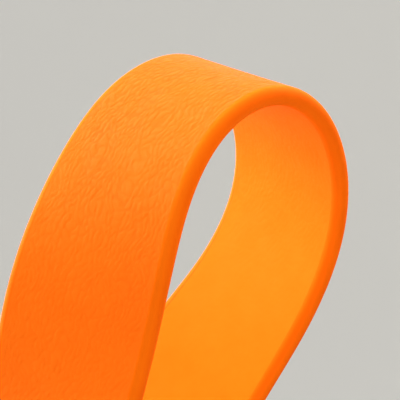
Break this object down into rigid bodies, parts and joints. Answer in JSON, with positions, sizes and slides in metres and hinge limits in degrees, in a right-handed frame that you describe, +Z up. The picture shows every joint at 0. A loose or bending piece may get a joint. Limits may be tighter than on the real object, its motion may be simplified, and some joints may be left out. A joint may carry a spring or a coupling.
{
  "type": "flat belt",
  "caption": "Flat power transmission belt with a leather-grain cover and round edges, closed into a loop by hinged plate lacing on a removable pin.",
  "frame": {"origin": "axis of the pulley that the crown of the loop sits on, at the middle of the belt's width", "axes": "+X across the belt along the pulley axis, +Z up through the crown, +Y to the right leg"},
  "size_m": [0.0286, 0.0443, 0.0893],
  "materials": {
    "cover": "satin leather grain",
    "bond": "satin",
    "ply": "plain weave",
    "core": "satin",
    "clip_steel": "brushed",
    "rivet_steel": "tumbled",
    "pin_steel": "drawn",
    "nylon": "matt",
    "keeper": "matt"
  },
  "bodies": {
    "belt": {"outer_cover": "cover", "outer_bond": "bond", "outer_ply": "ply", "core_layer": "core", "inner_ply": "ply", "inner_bond": "bond", "inner_cover": "cover", "edge_seal_near": "cover", "edge_seal_far": "cover", "lace_clip_left_1": "clip_steel", "lace_clip_left_2": "clip_steel", "lace_clip_left_3": "clip_steel", "lace_clip_right_1": "clip_steel", "lace_clip_right_2": "clip_steel", "lace_clip_right_3": "clip_steel", "rivets_left": "rivet_steel", "rivets_right": "rivet_steel"},
    "pin": {"hinge_pin": "pin_steel", "pin_sleeve": "nylon"},
    "keeper": {"pin_keeper": "keeper"}
  },
  "joints": [
    {"name": "pin_draw", "type": "slide", "parent": "belt", "child": "pin", "axis": [0.9945, 0.1045, 0], "range_m": [0, 0.03]},
    {"name": "keeper_off", "type": "slide", "parent": "belt", "child": "keeper", "axis": [-0.9945, -0.1045, 0], "range_m": [0, 0.005]}
  ]
}
